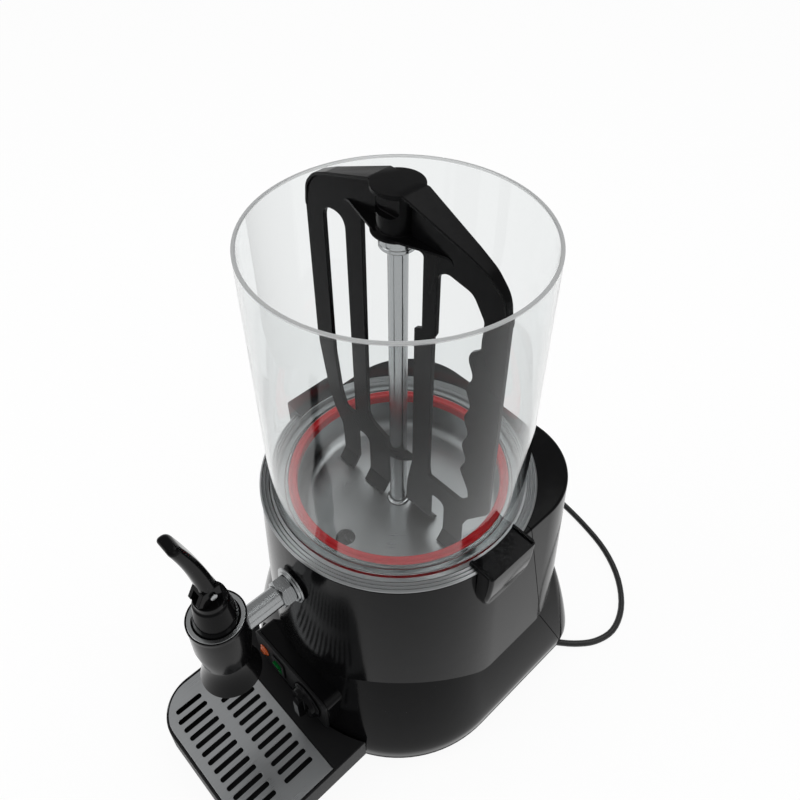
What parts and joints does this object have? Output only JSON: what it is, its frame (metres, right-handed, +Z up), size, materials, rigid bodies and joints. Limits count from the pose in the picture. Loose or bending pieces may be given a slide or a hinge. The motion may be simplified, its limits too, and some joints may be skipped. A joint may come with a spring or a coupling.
{
  "type": "hot chocolate dispenser",
  "caption": "Countertop hot chocolate dispenser: clear bowl on a heated steel pan, black agitator, lever tap, drip tray and controls.",
  "frame": {"origin": "middle of the machine's footprint on the table, without its mains lead", "axes": "+Z up, -Y towards the user and the tap, +X to the user's right"},
  "size_m": [0.4013, 0.5438, 0.573],
  "materials": {
    "front_shell": "glossy injection moulded black plastic",
    "rear_shell": "glossy injection moulded black plastic",
    "base_plate": "satin moulded black plastic",
    "foot_rear_left": "moulded rubber",
    "foot_rear_right": "moulded rubber",
    "foot_front_left": "moulded rubber",
    "foot_front_right": "moulded rubber",
    "steel_pan": "brushed stainless sheet",
    "bowl_gasket": "moulded silicone",
    "heater_plate": "pressed mica",
    "overheat_limiter": "satin moulded black plastic",
    "agitator_column": "turned stainless steel",
    "column_nut": "zinc plated steel",
    "drive_bracket": "zinc plated steel",
    "shaft_bearing": "plain brass",
    "motor": "zinc plated steel",
    "outlet_pipe": "turned stainless steel",
    "pipe_flange": "turned stainless steel",
    "pipe_nut": "turned stainless steel",
    "tap_body": "glossy injection moulded black plastic",
    "tap_nozzle": "turned stainless steel",
    "tap_ring": "turned stainless steel",
    "tap_bonnet": "glossy injection moulded black plastic",
    "tap_spring": "turned stainless steel",
    "control_panel": "satin moulded black plastic",
    "thermostat_body": "zinc plated steel",
    "switch_body": "satin moulded black plastic",
    "heating_lamp": "tinted clear plastic",
    "lead_gland": "moulded rubber",
    "mains_lead": "flexible plastic sleeve",
    "lead_coil": "flexible plastic sleeve",
    "mains_plug": "moulded rubber",
    "plug_pin_left": "turned stainless steel",
    "plug_pin_right": "turned stainless steel",
    "bowl": "clear moulded plastic",
    "drive_shaft": "turned stainless steel",
    "drive_pin": "turned stainless steel",
    "drive_wheel": "natural nylon",
    "motor_shaft": "turned stainless steel",
    "motor_pinion": "plain brass",
    "agitator": "glossy injection moulded black plastic",
    "column_bush": "turned stainless steel",
    "tap_stem": "turned stainless steel",
    "tap_lever": "glossy injection moulded black plastic",
    "lever_pin": "turned stainless steel",
    "thermostat_knob": "glossy injection moulded black plastic",
    "switch_rocker": "tinted plastic",
    "drip_tray": "satin moulded black plastic",
    "drip_grid": "brushed stainless sheet"
  },
  "bodies": {
    "machine": {"front_shell": "front_shell", "rear_shell": "rear_shell", "base_plate": "base_plate", "foot_rear_left": "foot_rear_left", "foot_rear_right": "foot_rear_right", "foot_front_left": "foot_front_left", "foot_front_right": "foot_front_right", "steel_pan": "steel_pan", "bowl_gasket": "bowl_gasket", "heater_plate": "heater_plate", "overheat_limiter": "overheat_limiter", "agitator_column": "agitator_column", "column_nut": "column_nut", "drive_bracket": "drive_bracket", "shaft_bearing": "shaft_bearing", "motor": "motor", "outlet_pipe": "outlet_pipe", "pipe_flange": "pipe_flange", "pipe_nut": "pipe_nut", "tap_body": "tap_body", "tap_nozzle": "tap_nozzle", "tap_ring": "tap_ring", "tap_bonnet": "tap_bonnet", "tap_spring": "tap_spring", "control_panel": "control_panel", "thermostat_body": "thermostat_body", "switch_body": "switch_body", "heating_lamp": "heating_lamp", "lead_gland": "lead_gland", "mains_lead": "mains_lead", "lead_coil": "lead_coil", "mains_plug": "mains_plug", "plug_pin_left": "plug_pin_left", "plug_pin_right": "plug_pin_right"},
    "bowl": {"bowl": "bowl"},
    "drive_shaft": {"drive_shaft": "drive_shaft", "drive_pin": "drive_pin", "drive_wheel": "drive_wheel"},
    "motor_rotor": {"motor_shaft": "motor_shaft", "motor_pinion": "motor_pinion"},
    "agitator": {"agitator": "agitator", "column_bush": "column_bush"},
    "tap_valve": {"tap_stem": "tap_stem"},
    "tap_lever": {"tap_lever": "tap_lever", "lever_pin": "lever_pin"},
    "thermostat_knob": {"thermostat_knob": "thermostat_knob"},
    "switch_rocker": {"switch_rocker": "switch_rocker"},
    "drip_tray": {"drip_tray": "drip_tray"},
    "drip_grid": {"drip_grid": "drip_grid"}
  },
  "joints": [
    {"name": "agitator_spin", "type": "hinge", "parent": "machine", "child": "drive_shaft", "pos_m": [0, 0.057, 0.3], "axis": [0, 0, 1], "continuous": true},
    {"name": "motor_spin", "type": "hinge", "parent": "machine", "child": "motor_rotor", "pos_m": [0.045, 0.057, 0.18], "axis": [0, 0, 1], "continuous": true},
    {"name": "bowl_lift", "type": "slide", "parent": "machine", "child": "bowl", "axis": [0, 0, 1], "range_m": [0, 0.32]},
    {"name": "agitator_lift", "type": "slide", "parent": "drive_shaft", "child": "agitator", "axis": [0, 0, 1], "range_m": [0, 0.32]},
    {"name": "valve_lift", "type": "slide", "parent": "machine", "child": "tap_valve", "axis": [0, 0, 1], "range_m": [0, 0.0051], "deforming": ["tap_spring"]},
    {"name": "lever_pull", "type": "hinge", "parent": "tap_valve", "child": "tap_lever", "pos_m": [0, -0.145, 0.2998], "axis": [1, 0, 0], "range_deg": [0, 60], "stiffness_Nm_per_rad": 0.06, "springref_deg": -20.05},
    {"name": "thermostat_turn", "type": "hinge", "parent": "machine", "child": "thermostat_knob", "pos_m": [0.028, -0.0915, 0.074], "axis": [0, 1, 0], "range_deg": [0, 270]},
    {"name": "switch_tip", "type": "hinge", "parent": "machine", "child": "switch_rocker", "pos_m": [-0.018, -0.0918, 0.074], "axis": [-1, 0, 0], "range_deg": [0, 17]},
    {"name": "tray_slide", "type": "slide", "parent": "machine", "child": "drip_tray", "axis": [0, -1, 0], "range_m": [0, 0.16]},
    {"name": "grid_lift", "type": "slide", "parent": "drip_tray", "child": "drip_grid", "axis": [0, 0, 1], "range_m": [0, 0.06]}
  ],
  "couplings": [
    {"joint": "motor_spin", "follows": "agitator_spin", "ratio": -4},
    {"joint": "agitator_lift", "follows": "bowl_lift", "ratio": 1},
    {"joint": "valve_lift", "follows": "lever_pull", "m_per_rad": 0.0047746}
  ]
}
